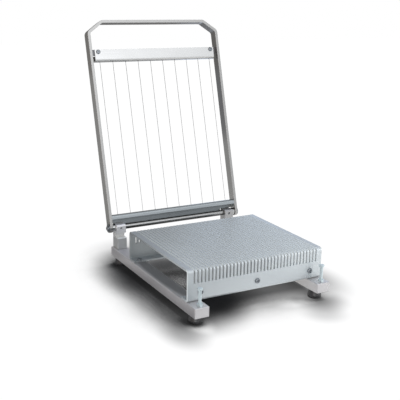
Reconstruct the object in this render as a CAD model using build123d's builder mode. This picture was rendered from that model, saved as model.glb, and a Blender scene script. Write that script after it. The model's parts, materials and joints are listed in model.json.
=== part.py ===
from build123d import *
import os
from math import cos, radians, sin

# Pastry guitar cutter: a slotted table on two rails, and a hinged frame of wires
# that swings forward and down, through the slots, to cut what lies on the table.
# The frame is drawn raised and leaning back, which is how it stands at rest.
# The origin is on the floor, under the middle of the whole cutter as it stands.
# X runs along the hinge, -Y is the front, where the handle comes down, and +Z is up.

# Slots and wires
slot_pitch = 7.5
slot_count = 37
slot_width = 3.0
slot_margin = 14.0  # last slot to the table's side
slot_reserve = 10.0  # slot depth left below the wires of a level frame
wire_step = 4  # slots from one wire to the next
wire_diameter = 0.8
wire_sink = 17.0  # wires of a level frame below the table's top

# Table
table_depth = 255.0
table_height = 62.0
table_thickness = 4.0
table_bend = 6.0  # outside radius
table_flange = 25.0
table_screw_inset = 5.0  # flange screw to the flange's free edge
table_screw_grip = 10.0  # screw length inside the rail
face_screw_height = 18.0
face_screw_inset = 27.0  # outer face screws to the table's side
face_screw_grip = 9.0  # screw length inside the stiffener
stiffener_depth = 12.0
stiffener_height = 16.0
stiffener_inset = 9.0

# Rails and feet
rail_width = 30.0
rail_height = 20.0
rail_edge = 1.0
rail_proud = 1.0  # rail's outer face beyond the table's side
rail_front = 30.0  # rail ahead of the table
rail_rear = 95.0  # rail behind the table
foot_height = 18.0
foot_diameter = 27.0
foot_top_diameter = 21.0
foot_round = 2.5
foot_shoulder = 6.0  # height of the foot's straight lower part
foot_front_inset = 27.0
foot_rear_inset = 18.0
foot_recess = 6.0
foot_screw_grip = 12.0  # screw length inside the rail

# Hinge
hinge_margin = 10.0  # hinge axis to the rails' rear end
rod_diameter = 12.0
bearing_width = 21.0
bearing_front = 12.0
bearing_above = 7.5
bearing_below = 10.5
bearing_bevel = 3.0
block_edge = 0.8
rod_edge = 0.8
neck_height = 9.5
neck_depth = 13.0
riser_front = 17.0
post_screw_spacing = 11.0
post_screw_grip = 10.0  # screw length inside the bearing block
spacer_diameter = 16.0
end_screw_grip = 12.0
post_recess = 6.0  # depth of the screw recess under the rail

# Frame
lean = 16.0  # degrees past upright at rest
bar_thickness = 6.0
bar_depth = 20.0
bar_bend = 6.0  # inside radius
side_gap = 4.0  # table's side to the side bar
handle_gap = 56.0
corner_width = 34.0
corner_rise = 24.0
channel_thickness = 2.5
channel_bend = 5.0  # outside radius
channel_web = 26.0
near_channel_lip = 10.0
far_channel_lip = 13.0
near_channel_reach = 27.7  # hinge axis to the near channel's wire face
far_channel_gap = 7.0  # end of the far channel to the side bar
far_channel_setback = 5.0  # its front behind the side bars' front
bracket_width = 21.0
bracket_leg = 12.0
bracket_height = 13.0
bracket_thickness = 2.5
bracket_screw_inset = 8.0  # from the far channel's end
bracket_screw_drop = 5.0  # below the far channel's top edge
ferrule_diameter = 4.0
ferrule_length = 5.0
tension_length = 12.0
wire_hole = 1.4
bracket_screw_tip = 1.5  # screw end beyond its nut

# Stop pins
stop_ahead = 20.5  # pin axis ahead of the table
stop_overhang = 3.5  # lowered far channel's wire face behind the pin axis
stop_diameter = 6.0
stop_head_diameter = 10.0
stop_head_height = 4.0
stop_head_edge = 1.0
stop_grip = 16.0  # pin length inside the rail
stop_dip = 0.75  # degrees past level, frame down

# Clearances
thread_clearance = 0.05  # radial, screw in its hole
hole_clearance = 0.25  # radial, screw through a plain hole
running_clearance = 0.05  # radial, side bar on the rod
seat_clearance = 0.02  # radial, rod in the bearing blocks
axial_clearance = 0.3  # side bar to the spacer and the washer
rest_clearance = 0.1  # near channel to the bearing blocks at rest
stop_clearance = 0.3  # lowered frame to the stop pins
notch_clearance = 1.5  # near channel's web to the side of a post
notch_rise = 0.7  # near channel's web to the bearing block that it swings round
head_clearance = 0.5  # radial, screw head in its recess
nut_clearance = 0.1  # tension nut to the bend inside the far channel
wire_clearance = 0.02  # wire to the tension screw that it winds on
drill_over = 1.5  # hole deeper than its screw

# Bought screws: thread, head width, head height, key across flats
M5_BUTTON = (5.0, 9.5, 2.75, 3.0)
M6_BUTTON = (6.0, 10.5, 3.3, 4.0)
M5_CAP = (5.0, 8.5, 5.0, 4.0)
M4_HEX = (4.0, 7.0, 2.8)  # no key
GRUB = (5.0, 2.7, 2.5)  # thread, length, key across flats
M4_NUT = (4.0, 7.0, 3.2)  # thread, across flats, height
M5_NUT = (5.0, 8.0, 4.0)
M6_NUT = (6.0, 10.0, 5.0)
WASHER = (6.4, 18.0, 1.6)  # bore, diameter, thickness
head_rounding = 0.7  # share of a head's height that is rounded
socket_share = 0.55  # share of a head's height that is socket

# Places worked out from the sizes above
table_width = (slot_count - 1) * slot_pitch + 2 * slot_margin
wire_count = (slot_count - 1) // wire_step + 1
wire_pitch = wire_step * slot_pitch
slot_depth = wire_sink + slot_reserve
lean_sin = sin(radians(lean))
lean_cos = cos(radians(lean))

hinge_back = table_depth + rail_rear - hinge_margin  # hinge axis behind the table's front
far_channel_reach = hinge_back + stop_ahead - stop_overhang
handle_reach = far_channel_reach + channel_web + handle_gap + bar_thickness
handle_back = handle_reach * lean_sin + bar_depth / 2 * lean_cos  # handle behind the hinge axis

rail_length = rail_front + table_depth + rail_rear
rail_front_y = -(rail_front + hinge_back + handle_back) / 2
rail_mid_y = rail_front_y + rail_length / 2
rail_x = table_width / 2 + rail_proud - rail_width / 2
rail_top = foot_height + rail_height
table_top = rail_top + table_height
table_front_y = rail_front_y + rail_front
table_back_y = table_front_y + table_depth
foot_ys = (rail_front_y + foot_front_inset, rail_front_y + rail_length - foot_rear_inset)

hinge_y = table_front_y + hinge_back
hinge_z = table_top - wire_sink
frame_inner = table_width / 2 + side_gap
frame_outer = frame_inner + bar_thickness
channel_inner = bar_depth / 2 - channel_thickness
far_web_front = bar_depth / 2 - far_channel_setback
far_web_inner = far_web_front - channel_thickness
notch_along = max(bearing_above, bearing_front - bearing_bevel) + notch_rise
bearing_back = channel_inner * lean_cos + notch_along * lean_sin - rest_clearance
bearing_foot_z = hinge_z - bearing_below - neck_height

stop_y = table_front_y - stop_ahead
stop_contact = far_channel_reach + stop_overhang + stop_head_diameter / 2  # pin's front edge, from the hinge
stop_drop = far_web_front * cos(radians(stop_dip)) + stop_contact * sin(radians(stop_dip))
stop_top = hinge_z - stop_drop - stop_clearance

riser_front_y = hinge_y - riser_front
bearing_back_y = hinge_y + bearing_back
neck_front_y = bearing_back_y - neck_depth
post_screw_y = (neck_front_y + bearing_back_y) / 2
rod_half = frame_outer + axial_clearance

face_screw_z = rail_top + face_screw_height
face_screw_xs = [n * (table_width / 2 - face_screw_inset) for n in (-1, 0, 1)]
table_screw_reach = table_flange - table_screw_inset
table_screw_ys = (table_front_y + table_screw_reach, table_back_y - table_screw_reach)
wire_xs = [(n - (wire_count - 1) / 2) * wire_pitch for n in range(wire_count)]
bracket_screw_x = frame_inner - far_channel_gap - bracket_screw_inset
bracket_screw_along = far_channel_reach + channel_web - bracket_screw_drop

tension_along = far_channel_reach + channel_bend + M4_NUT[1] / 2 + nut_clearance
tension_offset = M4_HEX[0] / 2 - thread_clearance + wire_diameter / 2 + wire_clearance
tension_xs = [x + tension_offset for x in wire_xs]
notch_start = rail_x - bearing_width / 2 - notch_clearance
notch_width = frame_inner - notch_start
notch_x = notch_start + notch_width / 2

tilt = Vector(0, lean_sin, lean_cos)  # from the hinge up the frame
ahead = Vector(0, -lean_cos, lean_sin)  # square to the frame, forward
hinge = Vector(0, hinge_y, hinge_z)
sides = {"left": -1, "right": 1}
both_sides = tuple(sides.values())
table_screw_spots = [(side * rail_x, y) for side in both_sides for y in table_screw_ys]

os.makedirs("parts", exist_ok=True)


def finish(builder, name):
    """Label a finished piece and write its file."""
    builder.part.label = name
    export_step(builder.part, f"parts/{name}.step")


def post_screw_spots(side, z, direction):
    """Planes of the two screws of one hinge post."""
    xs = [side * rail_x + half * post_screw_spacing / 2 for half in (-1, 1)]
    return [facing(x, post_screw_y, z, direction) for x in xs]


def frame_point(x, along, forward=0.0):
    """Point on the frame: x sideways, along the bars from the hinge, and forward."""
    return hinge + Vector(x, 0, 0) + tilt * along + ahead * forward


def frame_plane(x=0.0, along=0.0, forward=0.0, normal=ahead):
    """Plane parallel to the frame, facing forward unless told otherwise."""
    return Plane(origin=frame_point(x, along, forward), x_dir=(1, 0, 0), z_dir=normal)


def cross_plane(along):
    """Plane square to the side bars, facing up them, with local Y rearward."""
    return Plane(origin=frame_point(0, along), x_dir=(1, 0, 0), z_dir=tilt)


def section_plane(x):
    """Plane across the frame at x, with local X rearward and local Y up the bars."""
    return Plane(origin=frame_point(x, 0), x_dir=-ahead, z_dir=(1, 0, 0))


def facing(x, y, z, direction):
    """Plane at a point of the base, facing the way a screw's head points."""
    return Plane(origin=(x, y, z), x_dir=(0, 0, 1) if direction[0] else (1, 0, 0), z_dir=direction)


def socket_screw(size, length, rounded=True):
    """Screw with a hexagon socket, its head above the origin and its shank below."""
    thread, head_diameter, head_height, key = size
    with BuildPart() as screw:
        with BuildSketch():
            Circle(head_diameter / 2)
        extrude(amount=head_height)
        if rounded:
            fillet(screw.edges().sort_by(Axis.Z)[-1], head_height * head_rounding)
        with BuildSketch(Plane.XY.offset(head_height)):
            RegularPolygon(key / 2, 6, major_radius=False)
        extrude(amount=-head_height * socket_share, mode=Mode.SUBTRACT)
        with BuildSketch():
            Circle(thread / 2 - thread_clearance)
        extrude(amount=-length)
    return screw.part


def hex_screw(size, length):
    """Screw with a hexagon head above the origin and its shank below."""
    thread, flats, head_height = size
    with BuildPart() as screw:
        with BuildSketch():
            RegularPolygon(flats / 2, 6, major_radius=False)
        extrude(amount=head_height)
        with BuildSketch():
            Circle(thread / 2 - thread_clearance)
        extrude(amount=-length)
    return screw.part


def hex_nut(size):
    """Nut standing on the origin, with its bore along Z."""
    thread, flats, height = size
    with BuildPart() as nut:
        with BuildSketch():
            RegularPolygon(flats / 2, 6, major_radius=False)
            Circle(thread / 2, mode=Mode.SUBTRACT)
        extrude(amount=height)
    return nut.part


def group(name, piece, planes):
    """One node of identical pieces, one at each plane."""
    with BuildPart() as pieces:
        with Locations(*planes):
            add(piece)
    finish(pieces, name)


# Rails, drilled for the feet, the stop pin, the table and the hinge post
def build_rail(name, side):
    with BuildPart() as rail:
        with BuildSketch(Plane((side * rail_x, rail_mid_y, foot_height))):
            Rectangle(rail_width, rail_length)
        extrude(amount=rail_height)
        chamfer(rail.edges(), rail_edge)
        with Locations(*[facing(side * rail_x, y, foot_height, (0, 0, -1)) for y in foot_ys]):
            Hole(M5_CAP[0] / 2, foot_screw_grip + drill_over)
        with Locations((side * rail_x, stop_y, rail_top)):
            Hole(stop_diameter / 2 + thread_clearance, stop_grip + drill_over)
        with Locations(*[(side * rail_x, y, rail_top) for y in table_screw_ys]):
            Hole(M5_BUTTON[0] / 2, table_screw_grip + drill_over)
        with Locations(*post_screw_spots(side, foot_height, (0, 0, -1))):
            CounterBoreHole(M5_CAP[0] / 2 + hole_clearance, M5_CAP[1] / 2 + head_clearance, post_recess)
    finish(rail, name)


# Feet: turned rubber discs, recessed underneath for a screw
def build_foot(name, x, y):
    with BuildPart() as foot:
        with BuildSketch(Plane((x, y, 0), x_dir=(1, 0, 0), z_dir=(0, -1, 0))):
            with BuildLine():
                FilletPolyline(
                    (0, 0),
                    (foot_diameter / 2, 0),
                    (foot_diameter / 2, foot_shoulder),
                    (foot_top_diameter / 2, foot_height),
                    (0, foot_height),
                    radius=foot_round,
                )
                Line((0, foot_height), (0, 0))
            make_face()
        revolve(axis=Axis((x, y, 0), (0, 0, 1)))
        with Locations(facing(x, y, 0, (0, 0, -1))):
            CounterBoreHole(M5_CAP[0] / 2 + hole_clearance, M5_CAP[1] / 2 + head_clearance, foot_recess)
    finish(foot, name)


# Hinge posts: a riser on the rail, and the bearing block that it carries
def build_riser(name, side):
    with BuildPart() as riser:
        with BuildSketch(Plane((side * rail_x, riser_front_y, rail_top))):
            Rectangle(bearing_width, bearing_back_y - riser_front_y, align=(Align.CENTER, Align.MIN))
        extrude(amount=bearing_foot_z - rail_top)
        chamfer(riser.edges(), block_edge)
        with Locations(*post_screw_spots(side, rail_top, (0, 0, -1))):
            Hole(M5_CAP[0] / 2 + hole_clearance)
    finish(riser, name)


def build_bearing(name, side):
    with BuildPart() as bearing:
        with BuildSketch(Plane.YZ.offset(side * rail_x - bearing_width / 2)):
            with BuildLine():
                Polyline(
                    (neck_front_y, bearing_foot_z),
                    (neck_front_y, hinge_z - bearing_below),
                    (hinge_y - bearing_front, hinge_z - bearing_below),
                    (hinge_y - bearing_front, hinge_z + bearing_above - bearing_bevel),
                    (hinge_y - bearing_front + bearing_bevel, hinge_z + bearing_above),
                    (bearing_back_y, hinge_z + bearing_above),
                    (bearing_back_y, bearing_foot_z),
                    close=True,
                )
            make_face()
        extrude(amount=bearing_width)
        with BuildSketch(Plane.YZ.offset(side * rail_x - bearing_width / 2)):
            with Locations((hinge_y, hinge_z)):
                Circle(rod_diameter / 2 + seat_clearance)
        extrude(amount=bearing_width, mode=Mode.SUBTRACT)
        with Locations(facing(side * rail_x, hinge_y - bearing_front, hinge_z, (0, -1, 0))):
            Hole(GRUB[0] / 2 + thread_clearance, bearing_front)
        with Locations(*post_screw_spots(side, bearing_foot_z, (0, 0, -1))):
            Hole(M5_CAP[0] / 2, post_screw_grip + drill_over)
    finish(bearing, name)


# Hinge rod, fixed in both bearing blocks, and what it carries at its ends
def build_rod():
    with BuildPart() as rod:
        with BuildSketch(Plane.YZ.offset(-rod_half)):
            with Locations((hinge_y, hinge_z)):
                Circle(rod_diameter / 2)
        extrude(amount=2 * rod_half)
        chamfer(rod.edges().filter_by(GeomType.CIRCLE), rod_edge)
        with Locations(*[facing(side * rod_half, hinge_y, hinge_z, (side, 0, 0)) for side in both_sides]):
            Hole(M6_BUTTON[0] / 2, end_screw_grip + drill_over)
    finish(rod, "hinge_rod")


def build_spacer(name, side):
    inner_x = rail_x + bearing_width / 2
    with BuildPart() as spacer:
        with BuildSketch(facing(side * inner_x, hinge_y, hinge_z, (side, 0, 0))):
            Circle(spacer_diameter / 2)
            Circle(rod_diameter / 2 + seat_clearance, mode=Mode.SUBTRACT)
        extrude(amount=frame_inner - axial_clearance - inner_x)
    finish(spacer, name)


# Table: one plate bent four times into a bridge, then sawn into a comb of bars
def build_table():
    with BuildPart() as table:
        with BuildSketch(Plane.YZ.offset(-table_width / 2)):
            with BuildLine():
                FilletPolyline(
                    (table_front_y + table_flange, rail_top),
                    (table_front_y, rail_top),
                    (table_front_y, table_top),
                    (table_back_y, table_top),
                    (table_back_y, rail_top),
                    (table_back_y - table_flange, rail_top),
                    radius=table_bend,
                )
                offset(amount=table_thickness, side=Side.RIGHT)
            make_face()
        extrude(amount=table_width)
        with BuildSketch(Plane((0, (table_front_y + table_back_y) / 2, table_top))):
            with GridLocations(slot_pitch, 0, slot_count, 1):
                Rectangle(slot_width, table_depth)
        extrude(amount=-slot_depth, mode=Mode.SUBTRACT)
        with Locations(*[facing(x, table_front_y, face_screw_z, (0, -1, 0)) for x in face_screw_xs]):
            Hole(M6_BUTTON[0] / 2 + hole_clearance, table_thickness)
        with Locations(*[(x, y, rail_top + table_thickness) for x, y in table_screw_spots]):
            Hole(M5_BUTTON[0] / 2 + hole_clearance, table_thickness)
    finish(table, "cutting_table")


def build_stiffener():
    with BuildPart() as stiffener:
        with BuildSketch(Plane((0, table_front_y + table_thickness, face_screw_z - stiffener_height / 2))):
            Rectangle(table_width - 2 * stiffener_inset, stiffener_depth, align=(Align.CENTER, Align.MIN))
        extrude(amount=stiffener_height)
        chamfer(stiffener.edges(), block_edge)
        with Locations(
            *[facing(x, table_front_y + table_thickness, face_screw_z, (0, -1, 0)) for x in face_screw_xs]
        ):
            Hole(M6_BUTTON[0] / 2, face_screw_grip + drill_over)
    finish(stiffener, "front_stiffener")


# Stop pins, which the lowered frame comes to rest on
def build_stop_pin(name, side):
    with BuildPart() as pin:
        with BuildSketch(Plane((side * rail_x, stop_y, rail_top - stop_grip))):
            Circle(stop_diameter / 2)
        extrude(amount=stop_top - stop_head_height - (rail_top - stop_grip))
        with BuildSketch(Plane((side * rail_x, stop_y, stop_top - stop_head_height))):
            Circle(stop_head_diameter / 2)
        extrude(amount=stop_head_height)
        fillet(pin.edges().filter_by(GeomType.CIRCLE).sort_by(Axis.Z)[-1], stop_head_edge)
    finish(pin, name)


# Frame bar: side bars and handle bent from one flat strip, with rounded hinge ends
def build_frame_bar():
    with BuildPart() as bar:
        with BuildSketch(frame_plane(forward=-bar_depth / 2)):
            with BuildLine():
                FilletPolyline(
                    (-frame_outer, 0),
                    (-frame_outer, handle_reach - corner_rise),
                    (corner_width - frame_outer, handle_reach),
                    (frame_outer - corner_width, handle_reach),
                    (frame_outer, handle_reach - corner_rise),
                    (frame_outer, 0),
                    radius=bar_bend + bar_thickness,
                )
                offset(amount=bar_thickness, side=Side.RIGHT)
            make_face()
        extrude(amount=bar_depth)
        for x in (-frame_outer, frame_inner):
            with BuildSketch(section_plane(x)):
                Circle(bar_depth / 2)
            extrude(amount=bar_thickness)
        with BuildSketch(section_plane(-frame_outer)):
            Circle(rod_diameter / 2 + running_clearance)
        extrude(amount=2 * frame_outer, mode=Mode.SUBTRACT)
    finish(bar, "frame_bar")


# Cross channels: folded strip, with a wide web, a base that the wires go through and a lip
def build_near_channel():
    with BuildPart() as channel:
        with BuildSketch(section_plane(-frame_inner)):
            with BuildLine():
                FilletPolyline(
                    (-bar_depth / 2, near_channel_reach - near_channel_lip),
                    (-bar_depth / 2, near_channel_reach),
                    (bar_depth / 2, near_channel_reach),
                    (bar_depth / 2, near_channel_reach - channel_web),
                    radius=channel_bend,
                )
                offset(amount=channel_thickness, side=Side.RIGHT)
            make_face()
        extrude(amount=2 * frame_inner)
        with BuildSketch(frame_plane(forward=-bar_depth / 2)):
            with Locations(*[(side * notch_x, notch_along) for side in both_sides]):
                Rectangle(notch_width, channel_web, align=(Align.CENTER, Align.MAX))
        extrude(amount=channel_thickness, mode=Mode.SUBTRACT)
        with BuildSketch(cross_plane(near_channel_reach)):
            with Locations(*[(x, 0) for x in wire_xs]):
                Circle(wire_hole / 2)
        extrude(amount=-channel_thickness, mode=Mode.SUBTRACT)
    finish(channel, "near_channel")


def build_far_channel():
    half_length = frame_inner - far_channel_gap
    with BuildPart() as channel:
        with BuildSketch(section_plane(-half_length)):
            with BuildLine():
                FilletPolyline(
                    (-far_web_front, far_channel_reach + channel_web),
                    (-far_web_front, far_channel_reach),
                    (bar_depth / 2, far_channel_reach),
                    (bar_depth / 2, far_channel_reach + far_channel_lip),
                    radius=channel_bend,
                )
                offset(amount=channel_thickness, side=Side.LEFT)
            make_face()
        extrude(amount=2 * half_length)
        with BuildSketch(cross_plane(far_channel_reach)):
            with Locations(*[(x, 0) for x in wire_xs]):
                Circle(wire_hole / 2)
        extrude(amount=channel_bend, mode=Mode.SUBTRACT)
        with BuildSketch(frame_plane(forward=-bar_depth / 2)):
            with Locations(*[(x, tension_along) for x in tension_xs]):
                Circle(M4_HEX[0] / 2 + hole_clearance)
        extrude(amount=channel_thickness, mode=Mode.SUBTRACT)
        with BuildSketch(frame_plane(forward=far_web_front)):
            with Locations(*[(side * bracket_screw_x, bracket_screw_along) for side in both_sides]):
                Circle(M5_BUTTON[0] / 2 + hole_clearance)
        extrude(amount=-channel_thickness, mode=Mode.SUBTRACT)
    finish(channel, "far_channel")


# Brackets that join the far channel to the side bars
def build_brackets():
    top = far_channel_reach + channel_web
    with BuildPart() as brackets:
        with BuildSketch(cross_plane(top - bracket_height)):
            for side, edge in zip(both_sides, (Align.MIN, Align.MAX)):
                with Locations((side * frame_inner, -far_web_inner)):
                    Rectangle(bracket_width, bracket_thickness, align=(edge, Align.MIN))
                    Rectangle(bracket_thickness, bracket_leg, align=(edge, Align.MIN))
        extrude(amount=bracket_height)
        with BuildSketch(frame_plane(forward=far_web_inner)):
            with Locations(*[(side * bracket_screw_x, bracket_screw_along) for side in both_sides]):
                Circle(M5_BUTTON[0] / 2 + hole_clearance)
        extrude(amount=-bracket_thickness, mode=Mode.SUBTRACT)
    finish(brackets, "far_channel_brackets")


# Cutting wires, strung from the near channel to the tension screws
def build_wire(name, x):
    start = near_channel_reach - channel_thickness
    with BuildPart() as wire:
        with BuildSketch(cross_plane(start)):
            with Locations((x, 0)):
                Circle(wire_diameter / 2)
        extrude(amount=tension_along - start)
    finish(wire, name)


def build_ferrules():
    with BuildPart() as ferrules:
        with BuildSketch(cross_plane(near_channel_reach - channel_thickness)):
            with Locations(*[(x, 0) for x in wire_xs]):
                Circle(ferrule_diameter / 2)
        extrude(amount=-ferrule_length)
    finish(ferrules, "wire_ferrules")


# Small turned pieces
def build_lock_screw():
    thread, length, key = GRUB
    with BuildPart() as screw:
        with BuildSketch():
            Circle(thread / 2)
        extrude(amount=length)
        with BuildSketch(Plane.XY.offset(length)):
            RegularPolygon(key / 2, 6, major_radius=False)
        extrude(amount=-length * socket_share, mode=Mode.SUBTRACT)
    return screw.part


def build_washer():
    bore, diameter, thickness = WASHER
    with BuildPart() as washer:
        with BuildSketch():
            Circle(diameter / 2)
            Circle(bore / 2, mode=Mode.SUBTRACT)
        extrude(amount=thickness)
    return washer.part


for side_name, side in sides.items():
    build_rail(f"rail_{side_name}", side)
    build_riser(f"post_riser_{side_name}", side)
    build_bearing(f"bearing_block_{side_name}", side)
    build_spacer(f"hinge_spacer_{side_name}", side)
    build_stop_pin(f"stop_pin_{side_name}", side)
    for end_name, y in zip(("front", "rear"), foot_ys):
        build_foot(f"foot_{end_name}_{side_name}", side * rail_x, y)

build_table()
build_stiffener()
build_rod()
build_frame_bar()
build_near_channel()
build_far_channel()
build_brackets()
build_ferrules()
for number, x in enumerate(wire_xs, start=1):
    build_wire(f"wire_{number:02d}", x)

# Screws, nuts and washers, each kind in one node
group(
    "foot_screws",
    socket_screw(M5_CAP, foot_height - foot_recess + foot_screw_grip, rounded=False),
    [facing(side * rail_x, y, foot_recess, (0, 0, -1)) for side in both_sides for y in foot_ys],
)
group(
    "table_screws",
    socket_screw(M5_BUTTON, table_thickness + table_screw_grip, rounded=False),
    [facing(x, y, rail_top + table_thickness, (0, 0, 1)) for x, y in table_screw_spots],
)
group(
    "table_face_screws",
    socket_screw(M6_BUTTON, table_thickness + face_screw_grip),
    [facing(x, table_front_y, face_screw_z, (0, -1, 0)) for x in face_screw_xs],
)
group(
    "post_screws",
    socket_screw(M5_CAP, bearing_foot_z + post_screw_grip - foot_height - post_recess, rounded=False),
    [
        spot
        for side in both_sides
        for spot in post_screw_spots(side, foot_height + post_recess, (0, 0, -1))
    ],
)
group(
    "rod_lock_screws",
    build_lock_screw(),
    [facing(side * rail_x, hinge_y - rod_diameter / 2, hinge_z, (0, -1, 0)) for side in both_sides],
)
group(
    "rod_end_washers",
    build_washer(),
    [facing(side * rod_half, hinge_y, hinge_z, (side, 0, 0)) for side in both_sides],
)
group(
    "rod_end_screws",
    socket_screw(M6_BUTTON, WASHER[2] + end_screw_grip),
    [facing(side * (rod_half + WASHER[2]), hinge_y, hinge_z, (side, 0, 0)) for side in both_sides],
)
group(
    "stop_pin_nuts",
    hex_nut(M6_NUT),
    [facing(side * rail_x, stop_y, rail_top, (0, 0, 1)) for side in both_sides],
)
group(
    "far_channel_screws",
    socket_screw(M5_BUTTON, channel_thickness + bracket_thickness + M5_NUT[2] + bracket_screw_tip),
    [
        frame_plane(side * bracket_screw_x, bracket_screw_along, far_web_front)
        for side in both_sides
    ],
)
group(
    "far_channel_nuts",
    hex_nut(M5_NUT),
    [
        frame_plane(side * bracket_screw_x, bracket_screw_along, far_web_inner - bracket_thickness, -ahead)
        for side in both_sides
    ],
)
group(
    "tension_screws",
    hex_screw(M4_HEX, tension_length),
    [frame_plane(x, tension_along, -bar_depth / 2, -ahead) for x in tension_xs],
)
group(
    "tension_nuts",
    hex_nut(M4_NUT),
    [frame_plane(x, tension_along, -channel_inner) for x in tension_xs],
)
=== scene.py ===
# %% [markdown]
# # A pastry guitar cutter, dressed for its picture
#
# The real cutter is a kitchen tool: a slotted aluminium table on two rails, and a
# hinged steel frame that carries ten taut wires. The frame swings down, the wires
# pass through the food and drop into the slots. The solids of all its pieces come
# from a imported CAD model. This lesson gives each piece the finish of the real one,
# remakes the pieces whose detail is too fine for the solids, and lights the whole.

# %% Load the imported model
import json

import bmesh
import bpy
from math import cos, pi, radians, sin
from mathutils import Matrix, Vector


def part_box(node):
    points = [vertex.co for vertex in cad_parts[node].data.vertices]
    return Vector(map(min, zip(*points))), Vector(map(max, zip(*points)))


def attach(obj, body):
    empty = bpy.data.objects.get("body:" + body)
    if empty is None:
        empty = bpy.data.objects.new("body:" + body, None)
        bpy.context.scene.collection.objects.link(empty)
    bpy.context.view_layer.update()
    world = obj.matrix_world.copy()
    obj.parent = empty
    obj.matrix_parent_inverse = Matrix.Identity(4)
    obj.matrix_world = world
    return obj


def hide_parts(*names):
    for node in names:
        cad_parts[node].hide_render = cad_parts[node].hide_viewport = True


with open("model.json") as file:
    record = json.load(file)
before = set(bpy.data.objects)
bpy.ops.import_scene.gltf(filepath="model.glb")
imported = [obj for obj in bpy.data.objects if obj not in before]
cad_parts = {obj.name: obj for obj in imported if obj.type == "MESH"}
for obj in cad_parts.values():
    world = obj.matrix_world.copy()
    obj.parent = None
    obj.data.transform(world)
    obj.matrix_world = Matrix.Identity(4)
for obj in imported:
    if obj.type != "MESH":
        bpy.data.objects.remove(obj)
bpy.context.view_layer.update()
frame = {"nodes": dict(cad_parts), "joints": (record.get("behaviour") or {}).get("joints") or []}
nodes = frame["nodes"]

# %% [markdown]
# ## Where things are
#
# Every piece made here has to sit on the piece that carries it, so its place is
# read from the CAD model instead of being typed in. The hinge's place comes from
# the joint. The frame leans back from it, and two directions describe every place
# on the frame: one up along its side bars, and one square to them, forwards. The
# table's corners are kept in millimetres, because its profile is drawn in them.

# %% Hinge, frame directions and table corners
millimetre = 0.001
hinge = Vector(frame["joints"][0]["pos_m"])
lean = radians(16)
up_frame = Vector((0, sin(lean), cos(lean)))
out_front = Vector((0, -cos(lean), sin(lean)))
table_low, table_high = [Vector(corner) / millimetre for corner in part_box("cutting_table")]


def on_frame(x, along, forward=0.0):
    """A place on the leaning frame, from sizes in millimetres."""
    return hinge + (Vector((x, 0, 0)) + up_frame * along + out_front * forward) * millimetre


print("hinge at", tuple(round(v, 4) for v in hinge))
print("table measures", [round(v, 1) for v in table_high - table_low], "mm")

# %% [markdown]
# ## Colours and shader nodes
#
# A colour picked from a picture is an sRGB value, and the shader works in linear
# light, so one function turns the one into the other. A second function adds a
# shader node, with its settings and its links, and every tree below is made with it.

# %% Colour and node helpers
def linear(hex_colour):
    """Linear RGBA from an sRGB hex colour."""
    values = [int(hex_colour[i : i + 2], 16) / 255 for i in (1, 3, 5)]
    return [v / 12.92 if v <= 0.04045 else ((v + 0.055) / 1.055) ** 2.4 for v in values] + [1.0]


def add_node(tree, kind, inputs=None, **settings):
    """Add a node. An input is a value to set or a socket to link from."""
    node = tree.nodes.new(kind)
    for name, value in settings.items():
        setattr(node, name, value)
    for socket, value in (inputs or {}).items():
        if isinstance(value, bpy.types.NodeSocket):
            tree.links.new(value, node.inputs[socket])
        else:
            node.inputs[socket].default_value = value
    return node


def new_finish(name):
    """An empty material and its tree."""
    material = bpy.data.materials.new(name)
    material.use_nodes = True
    material.node_tree.nodes.clear()
    return material, material.node_tree


print("linear mid grey", round(linear("#808080")[0], 3))

# %% [markdown]
# ## Painted shade and light
#
# Metal mirrors its surroundings. What faces a dark side of the room, or lies deep
# between other pieces, looks darker than a few soft lamps can make it. So a finish
# may keep only a share of its colour, as painted shade: from one distance to another
# along a direction, or inside an oval space. The same oval shade paints the floor's
# shadow and, where it gives light back, painted light.

# %% Helpers for painted shade
def kept_along(tree, place, towards, start, end, share):
    """A share at the start and all at the end, in millimetres past the hinge's line."""
    along = add_node(tree, "ShaderNodeVectorMath", {0: place, 1: towards}, operation="DOT_PRODUCT")
    kept = add_node(
        tree,
        "ShaderNodeMapRange",
        {
            "Value": along.outputs["Value"],
            "From Min": hinge.dot(towards) + start * millimetre,
            "From Max": hinge.dot(towards) + end * millimetre,
            "To Min": share,
        },
    )
    return kept.outputs["Result"]


def kept_within(tree, place, middle, half_sizes, share, core):
    """A share inside the core of an oval space and all at its edge, in metres."""
    away = add_node(tree, "ShaderNodeVectorMath", {0: place, 1: middle}, operation="SUBTRACT")
    scaled = add_node(
        tree,
        "ShaderNodeVectorMath",
        {0: away.outputs["Vector"], 1: half_sizes},
        operation="DIVIDE",
    )
    distance = add_node(
        tree, "ShaderNodeVectorMath", {0: scaled.outputs["Vector"]}, operation="LENGTH"
    )
    kept = add_node(
        tree,
        "ShaderNodeMapRange",
        {"Value": distance.outputs["Value"], "From Min": core, "To Min": share},
        interpolation_type="SMOOTHSTEP",
    )
    return kept.outputs["Result"]
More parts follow.
